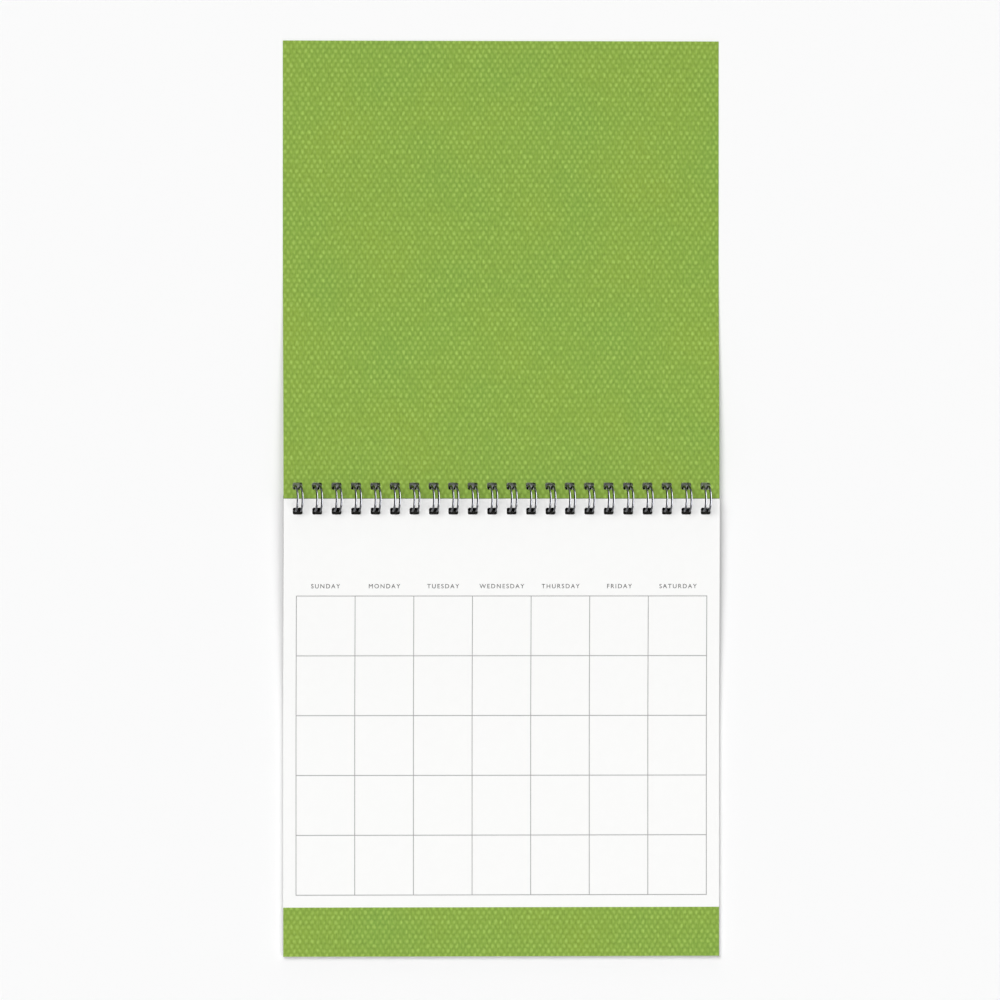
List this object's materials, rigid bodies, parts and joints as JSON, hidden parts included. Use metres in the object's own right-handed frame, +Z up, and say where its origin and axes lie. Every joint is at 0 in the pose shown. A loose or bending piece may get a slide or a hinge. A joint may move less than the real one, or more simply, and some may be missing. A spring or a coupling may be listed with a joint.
{
  "type": "wall calendar",
  "caption": "Wire-bound wall calendar lying open: green front cover turned up over a block of month leaves with a blank day grid, on a back cover, all punched onto a twin loop wire.",
  "frame": {"origin": "on the table, below the middle of the binding wire", "axes": "+X along the binding to the right, +Y up the page towards the turned cover's free edge, +Z up from the table"},
  "size_m": [0.285, 0.5964, 0.0178],
  "materials": {
    "binding_wire": "glossy dark metallic coat on steel wire",
    "cover_card": "satin card, green print with a fine dot pattern",
    "leaf_paper": "smooth uncoated white paper",
    "grid_ink": "grey print",
    "band_ink": "green print with a fine dot pattern",
    "back_board": "plain dark grey board"
  },
  "bodies": {
    "back": {"back_cover": "back_board", "twin_loop_wire": "binding_wire"},
    "leaves": {"month_leaves": "leaf_paper", "month_grid": "grid_ink", "colour_band": "band_ink"},
    "cover": {"front_cover": "cover_card"}
  },
  "joints": [
    {"name": "leaves_turn", "type": "hinge", "parent": "back", "child": "leaves", "pos_m": [0, 0, 0.00893], "axis": [1, 0, 0], "range_deg": [-182.5, 0]},
    {"name": "cover_turn", "type": "hinge", "parent": "back", "child": "cover", "pos_m": [0, 0, 0.00893], "axis": [1, 0, 0], "range_deg": [0, 182.5]}
  ]
}
